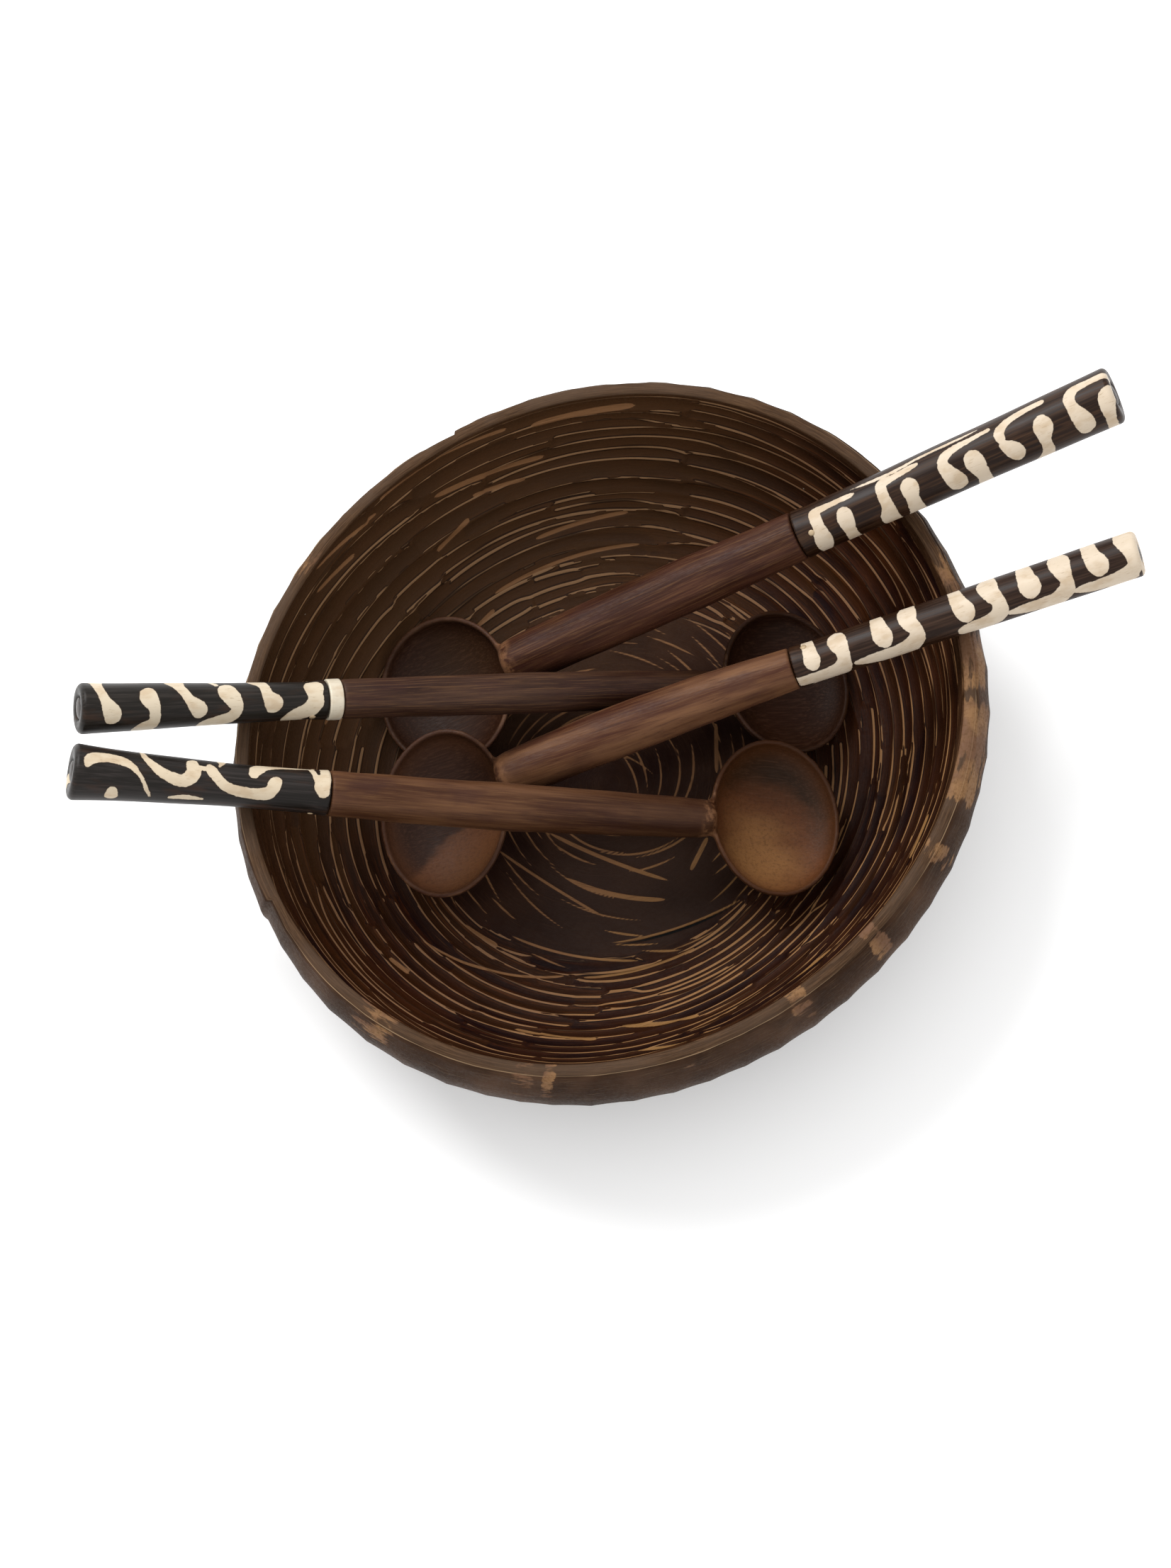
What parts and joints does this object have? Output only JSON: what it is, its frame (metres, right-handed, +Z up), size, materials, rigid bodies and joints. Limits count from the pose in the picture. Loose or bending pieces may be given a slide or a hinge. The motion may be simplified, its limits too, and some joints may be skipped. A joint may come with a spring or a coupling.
{
  "type": "carved wooden bowl with serving spoons",
  "caption": "Oval carved wooden bowl with gouged inner wall, holding long serving spoons whose wooden shafts end in patterned bone sleeves.",
  "frame": {"origin": "centre of the bowl's flat foot, on the surface that it stands on", "axes": "+Z up, +X to the right as the user sees it, across the bowl along the spoon handles, +Y to the far side"},
  "size_m": [0.4046, 0.2861, 0.1412],
  "materials": {
    "bowl_wood": "oiled, dark dyed, with gouge cuts whose ridges are worn to paler wood",
    "spoon_wood": "hand smoothed, waxed, red-brown with paler streaks",
    "dyed_bone": "polished bone, dyed near black round pale resist-drawn marks",
    "pale_bone": "polished, undyed bone",
    "plug_bone": "polished bone, dyed dark",
    "pin_bone": "filed flush, stained by handling"
  },
  "bodies": {
    "bowl": {"bowl": "bowl_wood"},
    "spoon_far_right": {"spoon_far_right_wood": "spoon_wood", "spoon_far_right_sleeve": "dyed_bone", "spoon_far_right_end_plug": "plug_bone", "spoon_far_right_pin": "pin_bone"},
    "spoon_far_left": {"spoon_far_left_wood": "spoon_wood", "spoon_far_left_sleeve": "dyed_bone", "spoon_far_left_end_plug": "plug_bone", "spoon_far_left_pin": "pin_bone", "spoon_far_left_collar": "pale_bone"},
    "spoon_near_right": {"spoon_near_right_wood": "spoon_wood", "spoon_near_right_sleeve": "dyed_bone", "spoon_near_right_end_plug": "plug_bone", "spoon_near_right_pin": "pin_bone"},
    "spoon_near_left": {"spoon_near_left_wood": "spoon_wood", "spoon_near_left_sleeve": "dyed_bone", "spoon_near_left_end_plug": "plug_bone", "spoon_near_left_pin": "pin_bone"}
  },
  "joints": [
    {"name": "lift_far_right", "type": "slide", "parent": "bowl", "child": "spoon_far_right", "axis": [0, -0.2756, 0.9613], "range_m": [0, 0.08]},
    {"name": "lift_far_left", "type": "slide", "parent": "spoon_far_right", "child": "spoon_far_left", "axis": [0, -0.2756, 0.9613], "range_m": [0, 0.08]},
    {"name": "lift_near_right", "type": "slide", "parent": "spoon_far_left", "child": "spoon_near_right", "axis": [0, -0.2756, 0.9613], "range_m": [0, 0.08]},
    {"name": "lift_near_left", "type": "slide", "parent": "spoon_near_right", "child": "spoon_near_left", "axis": [0, -0.2756, 0.9613], "range_m": [0, 0.08]}
  ]
}
